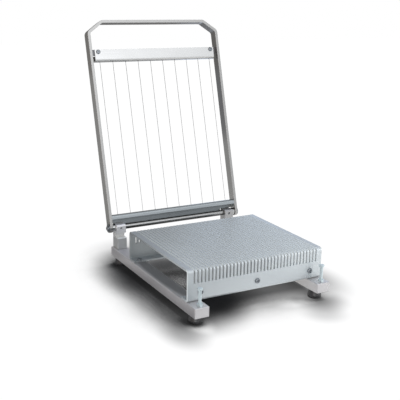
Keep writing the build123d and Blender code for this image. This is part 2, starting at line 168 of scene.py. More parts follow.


# %% [markdown]
# ## Painted light in the table's slots
#
# The real slots are so narrow that the eye hardly sees them from above: light comes
# up through them and bounces between their walls, and the top looks nearly even. A
# render stops after a few bounces. So the walls that face left glow faintly near the
# top: painted light that stands in for those bounces. The plate's cut edge at its
# front left corner glows a little too: a painted highlight, brighter than the brushed
# skin round it.

# %% Slot light
def slot_light(tree, coordinates, depth, strength):
    """Painted light on the slots' walls, fading down to a depth in millimetres, and a painted
    highlight on the plate's left front corner.
    """
    facing_left = -0.7  # of the normal's X
    edge, front_bend, rear_bend = 2.0, 3.0, 4.0  # millimetres that stay as they are
    # Painted highlight: a faint glow along the plate's cut edge at its left front corner
    corner_thickness, corner_length, corner_light = 0.4, 7.0, 0.33
    faces = add_node(tree, "ShaderNodeSeparateXYZ", {"Vector": coordinates.outputs["Normal"]})
    at = add_node(tree, "ShaderNodeSeparateXYZ", {"Vector": coordinates.outputs["Object"]})
    near_top = add_node(
        tree,
        "ShaderNodeMapRange",
        {
            "Value": at.outputs["Z"],
            "From Min": (table_high.z - depth) * millimetre,
            "From Max": table_high.z * millimetre,
            "To Max": strength,
        },
    )
    wall_tests = [
        (faces.outputs["X"], "LESS_THAN", facing_left),
        (at.outputs["X"], "GREATER_THAN", (table_low.x + edge) * millimetre),
        (at.outputs["Y"], "GREATER_THAN", (table_low.y + front_bend) * millimetre),
        (at.outputs["Y"], "LESS_THAN", (table_high.y - rear_bend) * millimetre),
    ]
    corner_tests = [
        (at.outputs["X"], "LESS_THAN", (table_low.x + corner_thickness) * millimetre),
        (at.outputs["Y"], "LESS_THAN", (table_low.y + corner_length) * millimetre),
    ]
    lights = []
    for light, tests in ((near_top.outputs["Result"], wall_tests), (corner_light, corner_tests)):
        for value, test, limit in tests:
            passed = add_node(tree, "ShaderNodeMath", {0: value, 1: limit}, operation=test)
            light = add_node(
                tree,
                "ShaderNodeMath",
                {0: light, 1: passed.outputs["Value"]},
                operation="MULTIPLY",
            ).outputs["Value"]
        lights.append(light)
    both = add_node(tree, "ShaderNodeMath", {0: lights[0], 1: lights[1]}, operation="ADD")
    return both.outputs["Value"]


# %% [markdown]
# ## Metal with a grain
#
# Rolling, drawing, brushing and grinding all leave fine parallel scratches. Each is
# too small to see here, but together they blur reflections across the grain and
# leave soft streaks. A noise that is squeezed across the grain and stretched along
# it gives those streaks. It drives a little of the colour, of the roughness and of
# a very low bump. The metals below differ in colour, roughness, and in how wide and
# how long their streaks are, in millimetres. A streak is drawn wider than the real
# scratch, which would be finer than a pixel.

# %% Metal finish
noise_low, noise_high = 0.3, 0.7  # a noise seldom leaves this range
streak_swing, cloud_swing = 0.04, 0.03  # how far each noise moves the roughness
clouds_per_metre = 18.0
oval_core = 0.6


def grained_metal(
    name,
    colour,
    roughness,
    streak,
    turn=0.0,
    contrast=0.05,
    relief=0.004,
    metallic=1.0,
    rounding=0.4,
    recess=None,
    shaded=None,
    slot_glow=None,
):
    """A metal whose streaks measure streak = (x, y, z) millimetres.

    relief is the streaks' height and rounding the radius of the edges, in millimetres.
    recess = (towards, start, end, share) paints shade along a direction,
    shaded = (middle, half sizes, share) paints shade in an oval space, and
    slot_glow = (depth, strength) paints light on the walls of the table's slots and
    on the plate's left front corner.
    """
    material, tree = new_finish(name)
    coordinates = add_node(tree, "ShaderNodeTexCoord")
    place = coordinates.outputs["Object"]
    turned = add_node(tree, "ShaderNodeMapping", {"Vector": place, "Rotation": (turn, 0, 0)})
    squeezed = add_node(
        tree,
        "ShaderNodeMapping",
        {"Vector": turned.outputs["Vector"], "Scale": [1 / (size * millimetre) for size in streak]},
    )
    streaks = add_node(
        tree,
        "ShaderNodeTexNoise",
        {"Vector": squeezed.outputs["Vector"], "Scale": 1.0, "Detail": 4.0, "Roughness": 0.6},
    )
    # Hand marks and uneven polish: broad, faint clouds over the streaks
    clouds = add_node(
        tree, "ShaderNodeTexNoise", {"Vector": place, "Scale": clouds_per_metre, "Detail": 3.0}
    )
    tint = add_node(tree, "ShaderNodeValToRGB", {"Fac": streaks.outputs["Fac"]})
    stops = zip(tint.color_ramp.elements, (noise_low, noise_high), (1 - contrast, 1 + contrast))
    for stop, position, gain in stops:
        stop.position = position
        stop.color = [min(1.0, v * gain) for v in linear(colour)[:3]] + [1.0]
    skin = tint.outputs["Color"]
    shares = []
    # Painted shade: the colour keeps only a share of itself along a direction or in an oval
    if recess:
        shares.append(kept_along(tree, place, *recess))
    if shaded:
        shares.append(kept_within(tree, place, *shaded, oval_core))
    for share in shares:
        skin = add_node(
            tree, "ShaderNodeVectorMath", {0: skin, "Scale": share}, operation="SCALE"
        ).outputs["Vector"]
    worn = add_node(
        tree,
        "ShaderNodeMapRange",
        {
            "Value": clouds.outputs["Fac"],
            "From Min": noise_low,
            "From Max": noise_high,
            "To Min": -cloud_swing,
            "To Max": cloud_swing,
        },
    )
    scratched = add_node(
        tree,
        "ShaderNodeMapRange",
        {
            "Value": streaks.outputs["Fac"],
            "From Min": noise_low,
            "From Max": noise_high,
            "To Min": roughness - streak_swing,
            "To Max": roughness + streak_swing,
        },
    )
    rough = add_node(
        tree,
        "ShaderNodeMath",
        {0: worn.outputs["Result"], 1: scratched.outputs["Result"]},
        operation="ADD",
        use_clamp=True,
    )
    # Real edges are rounded a little, and that rounding catches the light
    rounded = add_node(tree, "ShaderNodeBevel", {"Radius": rounding * millimetre}, samples=6)
    bump = add_node(
        tree,
        "ShaderNodeBump",
        {
            "Height": streaks.outputs["Fac"],
            "Strength": 0.5,
            "Distance": relief * millimetre,
            "Normal": rounded.outputs["Normal"],
        },
    )
    surface = {
        "Base Color": skin,
        "Metallic": metallic,
        "Roughness": rough.outputs["Value"],
        "Normal": bump.outputs["Normal"],
    }
    # Painted light: the slots' walls and the plate's left front corner glow
    if slot_glow:
        surface["Emission Color"] = skin
        surface["Emission Strength"] = slot_light(tree, coordinates, *slot_glow)
    shader = add_node(tree, "ShaderNodeBsdfPrincipled", surface)
    add_node(tree, "ShaderNodeOutputMaterial", {"Surface": shader.outputs["BSDF"]})
    print(name, "roughness", roughness, "streaks", streak, "mm")
    return material


# %% [markdown]
# ## Aluminium: table, rails and hinge posts
#
# The table is one aluminium plate, brushed along the slots, bent down at both ends
# and left a cool, even grey. The rails are drawn flat bar, with a satin skin whose
# draw lines run along the bar. The posts are milled, so their grain is short.

# %% Aluminium finishes
# Brushed and anodised: cool and even, with hardly a streak. Painted shade makes it darker
# towards the rear left and lighter towards the front right, and painted light glows in its slots
table_aluminium = grained_metal(
    "brushed anodised aluminium",
    "#D1D7D8",
    0.44,
    (1.2, 160, 160),
    contrast=0.01,
    relief=0.002,
    metallic=0.55,
    rounding=0.1,
    recess=(Vector((0.5, -0.866, 0)), -1, 330, 0.67),
    slot_glow=(10.0, 0.47),
)
# Drawn through a die: satin, with long draw lines and soft bright edges. The left
# rail gets painted shade on its top, under the table
rail_aluminium = grained_metal(
    "drawn aluminium bar",
    "#CFCDCC",
    0.36,
    (1.6, 220, 1.6),
    contrast=0.04,
    metallic=0.5,
    rounding=1.0,
    shaded=((-0.132, -0.085, 0.038), (0.0175, 0.150, 0.05), 0.48),
)
# Milled with a fast cutter: a pale, short grain, with painted shade below the posts' ledge
milled_aluminium = grained_metal(
    "milled aluminium",
    "#F0F1EC",
    0.34,
    (2.5, 2.5, 0.8),
    contrast=0.04,
    metallic=0.3,
    recess=(Vector((0, 0, 1)), -22.5, -21.0, 0.74),
)
# Milled finer than the posts: nearly white, with painted shade that makes it darker towards the
# right
block_aluminium = grained_metal(
    "fine-milled aluminium",
    "#F8F7F4",
    0.30,
    (2.5, 2.5, 0.8),
    contrast=0.03,
    metallic=0.3,
    recess=(Vector((-1, 0, 0)), -140, 120, 0.45),
)

# %% [markdown]
# ## Steel: bar, channels, rod, wires and screws
#
# The frame is polished stainless flat bar. It mirrors its surroundings, so its flat
# sides look dark where the room is dark, and its narrow front edges look bright.
# The far channel is bright stainless sheet. The near one is duller. The hinge rod,
# its spacers and the stop pins are ground round and polished.

# %% Frame and channel finishes
# Polished along the bar: a sharp mirror with rounded edges that catch the light
bar_steel = grained_metal(
    "polished stainless bar",
    "#ADACAA",
    0.28,
    (1.0, 1.0, 180),
    turn=lean,
    contrast=0.02,
    rounding=1.0,
)
# Cold rolled and bright: long, faint streaks across the frame, and painted shade along its foot
bright_sheet = grained_metal(
    "bright stainless sheet",
    "#D2D2D1",
    0.30,
    (200, 1.4, 1.4),
    contrast=0.02,
    relief=0.002,
    recess=(up_frame, 356.0, 361.0, 0.62),
)
# Bent by hand from dull sheet, with a blotchy skin. Its dark grey is partly that dull sheet and
# partly painted shade, where the brackets sit in the far channel's shade
bracket_sheet = grained_metal(
    "dull bent bracket", "#77777A", 0.40, (1.5, 1.5, 1.5), contrast=0.06
)
# Pickled after bending: greyer than bright sheet, with painted shade inside the channel
dull_sheet = grained_metal(
    "pickled stainless sheet",
    "#A3A9AC",
    0.36,
    (200, 1.4, 1.4),
    contrast=0.04,
    recess=(out_front, 0.0, 6.0, 0.55),
)

# %% Rod, pin, screw and wire finishes
# Ground round: fine rings, and a bright line along the top
ground_steel = grained_metal("ground steel", "#B4B5B4", 0.20, (0.8, 12, 12), contrast=0.03)
# The same on the rod, with a painted reflection: its lower half is darker, standing in for the dark
# gap under it
rod_steel = grained_metal(
    "ground steel rod",
    "#ABABAA",
    0.22,
    (0.8, 12, 12),
    contrast=0.03,
    recess=(Vector((0, 0, 1)), -1.5, 1.5, 0.5),
)
# Plated with zinc: pale, slightly blue, and softer than polished steel
zinc_steel = grained_metal(
    "bright zinc-plated steel", "#D3E0E2", 0.38, (1.0, 1.0, 1.0), contrast=0.04, metallic=0.6
)
# Turned and cold-formed: plain grey heads without a direction
fastener_steel = grained_metal(
    "stainless fastener", "#8F9499", 0.30, (1.5, 1.5, 1.5), contrast=0.06
)
# Drawn hard and thin, with painted shade: pale near the hinge, and darker up towards the far
# channel
wire_steel = grained_metal(
    "drawn spring wire",
    "#8C8C8C",
    0.35,
    (0.6, 0.6, 20),
    turn=lean,
    contrast=0.03,
    rounding=0.1,
    recess=(-up_frame, -345, -60, 0.2),
)

# %% [markdown]
# ## Rubber feet
#
# Moulded black rubber is dark grey rather than black, it has a fine mould texture,
# and it spreads light into broad soft highlights.

# %% Rubber finish
# Grains 1.1 mm wide, coarser than the real ones so that they show, under patches of
# dust 17 mm wide
grains_per_metre, dust_per_metre, grain_height = 900.0, 60.0, 0.1
foot_rubber, tree = new_finish("moulded black rubber")
place = add_node(tree, "ShaderNodeTexCoord").outputs["Object"]
grain = add_node(
    tree, "ShaderNodeTexNoise", {"Vector": place, "Scale": grains_per_metre, "Detail": 2.0}
)
dust = add_node(
    tree, "ShaderNodeTexNoise", {"Vector": place, "Scale": dust_per_metre, "Detail": 4.0}
)
tint = add_node(tree, "ShaderNodeValToRGB", {"Fac": dust.outputs["Fac"]})
for stop, position, colour in zip(tint.color_ramp.elements, (0.35, 0.75), ("#2A2A2B", "#4A4A4C")):
    stop.position = position
    stop.color = linear(colour)
bump = add_node(
    tree,
    "ShaderNodeBump",
    {"Height": grain.outputs["Fac"], "Strength": 0.4, "Distance": grain_height * millimetre},
)
shader = add_node(
    tree,
    "ShaderNodeBsdfPrincipled",
    {
        "Base Color": tint.outputs["Color"],
        "Roughness": 0.34,
        "IOR": 1.6,
        "Normal": bump.outputs["Normal"],
    },
)
add_node(tree, "ShaderNodeOutputMaterial", {"Surface": shader.outputs["BSDF"]})
print(foot_rubber.name, "has", len(tree.nodes), "nodes")

# %% [markdown]
# ## Every CAD piece gets its finish
#
# The solids stay as they are, and only their material changes. What isn't named here
# is a set of screws, nuts or washers.

# %% Give the finishes to the solids
finishes = {
    table_aluminium: ["cutting_table", "front_stiffener"],
    rail_aluminium: ["rail_left", "rail_right"],
    milled_aluminium: ["post_riser_left", "post_riser_right"],
    block_aluminium: ["bearing_block_left", "bearing_block_right"],
    bar_steel: ["frame_bar"],
    bright_sheet: ["far_channel"],
    bracket_sheet: ["far_channel_brackets"],
    dull_sheet: ["near_channel"],
    ground_steel: ["hinge_spacer_left", "hinge_spacer_right"],
    rod_steel: ["hinge_rod"],
    zinc_steel: ["stop_pin_left", "stop_pin_right", "stop_pin_nuts"],
    foot_rubber: ["foot_front_left", "foot_front_right", "foot_rear_left", "foot_rear_right"],
    wire_steel: ["wire_ferrules"] + [f"wire_{number:02d}" for number in range(1, 11)],
}
finish_of = {name: finish for finish, names in finishes.items() for name in names}
for name, node in nodes.items():
    node.data.materials.clear()
    node.data.materials.append(finish_of.get(name, fastener_steel))
print(len(finish_of), "nodes by name, and", len(nodes) - len(finish_of), "sets of fasteners")

# %% [markdown]
# ## Tools for repeated pieces
#
# Geometry Nodes repeat a piece along a line without copying it by hand. Each tree
# below is built here, with its sizes as named inputs. It puts a piece on every point
# of a centred row, makes the copies real and gives them their finish. The result is
# turned into a plain mesh, its touching edges are joined, and the modifier goes away.

# %% Geometry Nodes helpers
def new_tree(name, sizes):
    """A geometry tree with a Geometry input and output, and one input for each size."""
    tree = bpy.data.node_groups.new(name, "GeometryNodeTree")
    tree.interface.new_socket("Geometry", in_out="INPUT", socket_type="NodeSocketGeometry")
    for label, kind in sizes.items():
        tree.interface.new_socket(label, in_out="INPUT", socket_type=kind)
    tree.interface.new_socket("Geometry", in_out="OUTPUT", socket_type="NodeSocketGeometry")
    return tree, add_node(tree, "NodeGroupInput")


def row_of(tree, piece, count, spacing):
    """Copies of a piece in a row along X, centred on the cutter."""
    gaps = add_node(tree, "ShaderNodeMath", {0: count, 1: 1.0}, operation="SUBTRACT")
    whole = add_node(
        tree, "ShaderNodeMath", {0: gaps.outputs["Value"], 1: spacing}, operation="MULTIPLY"
    )
    left_end = add_node(
        tree, "ShaderNodeMath", {0: whole.outputs["Value"], 1: -0.5}, operation="MULTIPLY"
    )
    start = add_node(tree, "ShaderNodeCombineXYZ", {"X": left_end.outputs["Value"]})
    pace = add_node(tree, "ShaderNodeCombineXYZ", {"X": spacing})
    line = add_node(
        tree,
        "GeometryNodeMeshLine",
        {
            "Count": count,
            "Start Location": start.outputs["Vector"],
            "Offset": pace.outputs["Vector"],
        },
    )
    copies = add_node(
        tree, "GeometryNodeInstanceOnPoints", {"Points": line.outputs["Mesh"], "Instance": piece}
    )
    return copies.outputs["Instances"]


def end_tree(tree, geometry, finish):
    """Make the copies real, give them their finish, and send them out."""
    real = add_node(tree, "GeometryNodeRealizeInstances", {"Geometry": geometry})
    dressed = add_node(
        tree,
        "GeometryNodeSetMaterial",
        {"Geometry": real.outputs["Geometry"], "Material": finish},
    )
    add_node(tree, "NodeGroupOutput", {"Geometry": dressed.outputs["Geometry"]})


# %% From a tree to a mesh
merge_distance, crease_angle = 0.01, 30.0  # millimetres, degrees


def grow(name, data, tree, values):
    """Run a geometry tree on data, and give back a plain mesh object."""
    source = bpy.data.objects.new(name + "_source", data)
    bpy.context.scene.collection.objects.link(source)
    modifier = source.modifiers.new(tree.name, "NODES")
    modifier.node_group = tree
    sockets = [item for item in tree.interface.items_tree if item.in_out == "INPUT"]
    identifiers = {socket.name: socket.identifier for socket in sockets}
    for label, value in values.items():
        modifier[identifiers[label]] = value
    evaluated = source.evaluated_get(bpy.context.evaluated_depsgraph_get())
    mesh = bpy.data.meshes.new_from_object(evaluated)
    bpy.data.objects.remove(source)
    return finished(name, mesh)


def finished(name, mesh):
    """Join a mesh's touching edges, shade it, and make it an object at the origin."""
    shape = bmesh.new()
    shape.from_mesh(mesh)
    bmesh.ops.remove_doubles(shape, verts=shape.verts, dist=merge_distance * millimetre)
    for face in shape.faces:
        face.smooth = True
    shape.to_mesh(mesh)
    shape.free()
    mesh.set_sharp_from_angle(angle=radians(crease_angle))
    mesh.name = name
    piece = bpy.data.objects.new(name, mesh)
    bpy.context.scene.collection.objects.link(piece)
    print(name, len(mesh.polygons), "faces")
    return piece


# %% [markdown]
# ## Slotted table
#
# The real table is one plate, bent down at both ends and in under itself, and then
# sawn into a comb of bars. The saw leaves sharp edges, and each one is broken with
# a file so that it doesn't cut fingers. Seen from the front these broken edges
# catch the light as fine lines. The plate's profile is worked out once, as points
# with the directions that face out of the plate. A strip as wide as one slot and
# its two half bars follows it, and Geometry Nodes repeat that strip 37 times.

# %% Table profile
slot_pitch, slot_width, slot_count = 7.5, 3.0, 37
slot_height, flange = 27.0, 25.0
plate, outer_bend, bend_steps = 4.0, 6.0, 8
slot_foot = table_high.z - slot_height


def bent_profile():
    """Outside points of the plate and the directions that face out, as (y, z) pairs."""
    points = [((table_low.y + flange, table_low.z), (0, -1))]
    # Each corner: its place, the way to the bend's centre, the angle where the bend
    # starts and, where the slots end after it, the way that the plate faces there
    corners = [
        (table_low.y, table_low.z, (1, 1), 270, -1),
        (table_low.y, table_high.z, (1, -1), 180, None),
        (table_high.y, table_high.z, (-1, -1), 90, 1),
        (table_high.y, table_low.z, (-1, 1), 0, None),
    ]
    for y, z, inward, start, slots_face in corners:
        centre = (y + inward[0] * outer_bend, z + inward[1] * outer_bend)
        for step in range(bend_steps + 1):
            angle = radians(start - 90 * step / bend_steps)
            way = (cos(angle), sin(angle))
            points.append(
                ((centre[0] + outer_bend * way[0], centre[1] + outer_bend * way[1]), way)
            )
        if slots_face:
            points.append(((y, slot_foot), (slots_face, 0)))
    points.append(((table_high.y - flange, table_low.z), (0, -1)))
    return points


profile = bent_profile()
slot_rows = [row for row, ((y, z), _) in enumerate(profile) if abs(z - slot_foot) < 0.001]
print(len(profile), "profile points, slots run from row", slot_rows)


# %% Broken edges
broken_edge, sharp_angle = 0.25, 60.0  # millimetres, degrees


def broken_edges(shape):
    """Break the sawn and sheared edges, but not the bends, and give back a mesh."""
    sharp = [
        edge
        for edge in shape.edges
        if len(edge.link_faces) == 2 and edge.calc_face_angle() > radians(sharp_angle)
    ]
    bmesh.ops.bevel(
        shape,
        geom=sharp,
        offset=broken_edge,
        offset_type="OFFSET",
        segments=1,
        profile=0.5,
        affect="EDGES",
    )
    bmesh.ops.scale(shape, vec=[millimetre] * 3, verts=shape.verts)
    mesh = bpy.data.meshes.new("table_strip")
    shape.to_mesh(mesh)
    shape.free()
    return mesh


# %% A strip of the table
def table_strip(columns, slotted=None, closed=()):
    """A bent strip through columns = its x values, open at its sides.

    The slotted column is cut out between the slots' ends. Each closed side is a column
    and the order, 1 or -1, that turns its wall outwards.
    """
    shape = bmesh.new()
    outside, inside = [], []
    for (y, z), (ny, nz) in profile:
        outside.append([shape.verts.new((x, y, z)) for x in columns])
        inside.append([shape.verts.new((x, y - plate * ny, z - plate * nz)) for x in columns])
    first, last = slot_rows
    whole_width = range(len(columns) - 1)
    for row in range(len(profile) - 1):
        in_slot = slotted is not None and first <= row < last
        for column in whole_width:
            if in_slot and column == slotted:
                continue
            for skin, order in ((outside, -1), (inside, 1)):
                others = [skin[row][column + 1], skin[row + 1][column + 1], skin[row + 1][column]]
                shape.faces.new([skin[row][column]] + others[::order])
        walls = [(slotted, 1), (slotted + 1, -1)] if in_slot else []
        for column, order in walls + list(closed):
            wall = (
                outside[row][column],
                outside[row + 1][column],
                inside[row + 1][column],
                inside[row][column],
            )
            shape.faces.new(wall[::order])
    rims = [(0, whole_width, 1), (len(profile) - 1, whole_width, -1)]
    if slotted is not None:
        rims += [(first, [slotted], -1), (last, [slotted], 1)]
    for row, across, order in rims:
        for column in across:
            rim = (
                outside[row][column],
                outside[row][column + 1],
                inside[row][column + 1],
                inside[row][column],
            )
            shape.faces.new(rim[::order])
    bmesh.ops.recalc_face_normals(shape, faces=shape.faces)
    return broken_edges(shape)


half_pitch, half_slot = slot_pitch / 2, slot_width / 2
slot_strip = table_strip([-half_pitch, -half_slot, half_slot, half_pitch], slotted=1)
comb_half = slot_count * half_pitch
left_side = table_strip([table_low.x, -comb_half], closed=[(0, 1)])
right_side = table_strip([comb_half, table_high.x], closed=[(1, -1)])
side_strips = [
    bpy.data.objects.new("left_side", left_side),
    bpy.data.objects.new("right_side", right_side),
]
print("slot strip", len(slot_strip.polygons), "faces, sides", len(left_side.polygons), "each")

# %% Repeat the strip
table_tree, given = new_tree(
    "slotted table",
    {
        "Slots": "NodeSocketInt",
        "Pitch": "NodeSocketFloat",
        "Left side": "NodeSocketObject",
        "Right side": "NodeSocketObject",
        "Finish": "NodeSocketMaterial",
    },
)
comb = row_of(
    table_tree, given.outputs["Geometry"], given.outputs["Slots"], given.outputs["Pitch"]
)
joined = add_node(table_tree, "GeometryNodeJoinGeometry", {"Geometry": comb})
for side in ("Left side", "Right side"):
    info = add_node(table_tree, "GeometryNodeObjectInfo", {"Object": given.outputs[side]})
    table_tree.links.new(info.outputs["Geometry"], joined.inputs["Geometry"])
end_tree(table_tree, joined.outputs["Geometry"], given.outputs["Finish"])
table = grow(
    "slotted_table",
    slot_strip,
    table_tree,
    {
        "Slots": slot_count,
        "Pitch": slot_pitch * millimetre,
        "Left side": side_strips[0],
        "Right side": side_strips[1],
        "Finish": table_aluminium,
    },
)
for strip in side_strips:
    bpy.data.objects.remove(strip)
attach(table, "base")
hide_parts("cutting_table")

# %% [markdown]
# ## Cutting wires
#
# Each wire is held in the near channel, runs up through the far channel, and winds
# three times round its tension screw, which pulls it tight when it is turned. A
# straight run and a coil make one line. Geometry Nodes give that line its thickness
# and repeat it at the spacing of the wires.

# %% Line of one wire
wire_diameter, wire_spacing, wire_count = 0.8, 30.0, 10
wire_foot, screw_height = 25.2, 365.6
coil_radius, coil_turns, coil_pace, coil_steps = 2.37, 3, 0.9, 20

line_points = [on_frame(0, wire_foot)]
for step in range(coil_turns * coil_steps + 1):
    turn = step / coil_steps
    angle = pi - 2 * pi * turn
    line_points.append(
        on_frame(
            coil_radius + coil_radius * cos(angle),
            screw_height + coil_radius * sin(angle),
            -coil_pace * turn,
        )
    )
wire_line = bpy.data.curves.new("wire_line", "CURVE")
wire_line.dimensions = "3D"
spline = wire_line.splines.new("POLY")
spline.points.add(len(line_points) - 1)
for point, spot in zip(spline.points, line_points):
    point.co = (*spot, 1.0)
print("wire line of", len(line_points), "points")

# %% Repeat the wire
wire_tree, given = new_tree(
    "strung wires",
    {
        "Wires": "NodeSocketInt",
        "Spacing": "NodeSocketFloat",
        "Radius": "NodeSocketFloat",
        "Finish": "NodeSocketMaterial",
    },
)
section = add_node(
    wire_tree,
    "GeometryNodeCurvePrimitiveCircle",
    {"Resolution": 10, "Radius": given.outputs["Radius"]},
)
tube = add_node(
    wire_tree,
    "GeometryNodeCurveToMesh",
    {
        "Curve": given.outputs["Geometry"],
        "Profile Curve": section.outputs["Curve"],
        "Fill Caps": True,
    },
)
strung = row_of(
    wire_tree, tube.outputs["Mesh"], given.outputs["Wires"], given.outputs["Spacing"]
)
end_tree(wire_tree, strung, given.outputs["Finish"])
wires = grow(
    "cutting_wires",
    wire_line,
    wire_tree,
    {
        "Wires": wire_count,
        "Spacing": wire_spacing * millimetre,
        "Radius": wire_diameter / 2 * millimetre,
        "Finish": wire_steel,
    },
)
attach(wires, "frame")
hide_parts(*[f"wire_{number:02d}" for number in range(1, wire_count + 1)])

# %% [markdown]
# ## Floor and its painted shadow
#
# The cutter stands on a white floor that fades into a white background. The floor
# is a pale surface with some light of its own, and that light fades where the
# cutter closes the floor in: a painted shadow under it. Ambient occlusion tells
# how open the floor is, measured towards the lamps. Polished metal shows the floor
# as the camera does, so the floor's light counts for both.

# %% Floor, and how open it is
floor_size, shadow_reach = 12.0, 0.16  # metres
bpy.ops.mesh.primitive_plane_add(size=floor_size, location=(0, 0, 0))
floor = bpy.context.object
floor.name = "floor"
floor_finish, tree = new_finish("white studio floor")
lamp_side = add_node(tree, "ShaderNodeCombineXYZ", {"X": 0.30, "Y": -0.22, "Z": 0.93})
openness = add_node(
    tree,
    "ShaderNodeAmbientOcclusion",
    {"Distance": shadow_reach, "Normal": lamp_side.outputs["Vector"]},
    samples=24,
)
place = add_node(tree, "ShaderNodeTexCoord").outputs["Object"]
across = add_node(tree, "ShaderNodeSeparateXYZ", {"Vector": place})
# Painted bounce light: the floor's deepest shade is lighter under the table's right half, where the
# metal throws some light back
deepest = add_node(
    tree,
    "ShaderNodeMapRange",
    {
        "Value": across.outputs["X"],
        "From Min": -0.05,
        "From Max": 0.12,
        "To Min": 0.02,
        "To Max": 0.13,
    },
)
open_light = add_node(
    tree,
    "ShaderNodeMapRange",
    {
        "Value": openness.outputs["AO"],
        "From Min": 0.50,
        "From Max": 0.93,
        "To Min": deepest.outputs["Result"],
    },
    interpolation_type="SMOOTHSTEP",
)
print("floor", floor_size, "m wide, shadow reaches", shadow_reach, "m")

# %% Painted pools of shade
# Painted shadow: pools of deeper shade near the rails and under the table, and
# painted light in lighter places. Each pool has a place and half sizes, in metres,
# and the share of the floor's light that it takes away
pool_core = 0.1
pools = [
    ((-0.119, -0.219), (0.120, 0.097), 0.63),
    ((-0.178, -0.264), (0.054, 0.081), 0.51),
    ((-0.163, 0.024), (0.074, 0.153), 0.69),
    ((0.103, -0.298), (0.059, 0.060), 0.33),
    ((0.134, -0.250), (0.066, 0.069), 0.65),
    ((0.173, -0.128), (0.102, 0.160), 0.71),
    ((-0.063, -0.147), (0.143, 0.101), 0.97),
    ((-0.092, 0.152), (0.109, 0.076), 0.63),
    ((-0.061, -0.166), (0.078, 0.113), 0.97),
    ((-0.075, 0.186), (0.138, 0.118), 0.32),
    ((-0.050, 0.070), (0.115, 0.095), 0.82),
    # A share below nought is painted light, standing in for what the table's front and the rails
    # throw back
    ((0.019, -0.195), (0.201, 0.031), -1.44),
    ((0.105, -0.224), (0.082, 0.039), -0.78),
    ((-0.135, -0.192), (0.040, 0.099), -2.42),
    ((0.116, -0.228), (0.030, 0.030), -0.90),
    ((-0.075, -0.045), (0.055, 0.065), -2.20),
]
floor_light = open_light.outputs["Result"]
for middle, half_sizes, taken in pools:
    kept = kept_within(tree, place, (*middle, 0), (*half_sizes, 1), 1 - taken, pool_core)
    floor_light = add_node(
        tree, "ShaderNodeMath", {0: floor_light, 1: kept}, operation="MULTIPLY"
    ).outputs["Value"]
print(len(pools), "pools of shade and light")

# %% Floor finish
rays = add_node(tree, "ShaderNodeLightPath")
camera_or_mirror = add_node(
    tree,
    "ShaderNodeMath",
    {0: rays.outputs["Is Camera Ray"], 1: rays.outputs["Is Glossy Ray"]},
    operation="MAXIMUM",
)
shown = add_node(
    tree,
    "ShaderNodeMath",
    {0: camera_or_mirror.outputs["Value"], 1: rays.outputs["Is Transmission Ray"]},
    operation="MAXIMUM",
)
matt = add_node(tree, "ShaderNodeBsdfDiffuse", {"Color": linear("#2E2E2E")})
own_light = add_node(
    tree, "ShaderNodeEmission", {"Color": linear("#FFFFFF"), "Strength": floor_light}
)
lit = add_node(
    tree, "ShaderNodeAddShader", {0: matt.outputs["BSDF"], 1: own_light.outputs["Emission"]}
)
# The floor's colour for bounced light follows the painted shadow, so it throws back less light
# there
thrown_back = add_node(
    tree,
    "ShaderNodeMapRange",
    {"Value": floor_light, "From Min": 0.0, "From Max": 0.8, "To Min": 0.10, "To Max": 0.72},
)
pale = add_node(tree, "ShaderNodeBsdfDiffuse", {"Color": thrown_back.outputs["Result"]})
either = add_node(
    tree,
    "ShaderNodeMixShader",
    {0: shown.outputs["Value"], 1: pale.outputs["BSDF"], 2: lit.outputs["Shader"]},
)
add_node(tree, "ShaderNodeOutputMaterial", {"Surface": either.outputs["Shader"]})
floor.data.materials.append(floor_finish)
print(floor_finish.name, "has", len(tree.nodes), "nodes")

# %% [markdown]
# ## Room light
#
# The room is a soft studio: brighter in front and to the right, and dimmer behind.
# Polished metal also mirrors a bright window in front. The camera sees a white
# background, and so does metal that faces the rear.

# %% Room strength
world = bpy.data.worlds.new("soft studio")
bpy.context.scene.world = world
world.use_nodes = True
tree = world.node_tree
tree.nodes.clear()
window_way, window_rim, window_bright = (0.212, -0.791, 0.574), 0.90, 2.1
rays = add_node(tree, "ShaderNodeLightPath")
direction = add_node(tree, "ShaderNodeTexCoord").outputs["Generated"]
parts = add_node(tree, "ShaderNodeSeparateXYZ", {"Vector": direction})
left_to_right = add_node(
    tree,
    "ShaderNodeMapRange",
    {"Value": parts.outputs["X"], "From Min": -1.0, "To Min": 0.45, "To Max": 0.75},
)
in_front = add_node(
    tree, "ShaderNodeMapRange", {"Value": parts.outputs["Y"], "From Min": -0.2, "From Max": -0.7}
)
to_window = add_node(
    tree, "ShaderNodeVectorMath", {0: direction, 1: window_way}, operation="DOT_PRODUCT"
)
window = add_node(
    tree,
    "ShaderNodeMapRange",
    {
        "Value": to_window.outputs["Value"],
        "From Min": 0.930,
        "From Max": 0.985,
        "To Min": window_rim,
        "To Max": window_bright,
    },
    interpolation_type="SMOOTHSTEP",
)
mirrored_room = add_node(
    tree,
    "ShaderNodeMix",
    {
        "Factor": in_front.outputs["Result"],
        "A": left_to_right.outputs["Result"],
        "B": window.outputs["Result"],
    },
)
strength = add_node(
    tree,
    "ShaderNodeMix",
    {
        "Factor": rays.outputs["Is Glossy Ray"],
        "A": left_to_right.outputs["Result"],
        "B": mirrored_room.outputs["Result"],
    },
)
print("room strength", len(tree.nodes), "nodes")

# %% Room colour
# Warmer light from the left, and cooler light from the front and the right
tint = add_node(tree, "ShaderNodeValToRGB", {"Fac": left_to_right.outputs["Result"]})
for stop, position, colour in zip(tint.color_ramp.elements, (0.48, 0.60), ("#FFEEE4", "#FAFCFF")):
    stop.position = position
    stop.color = linear(colour)
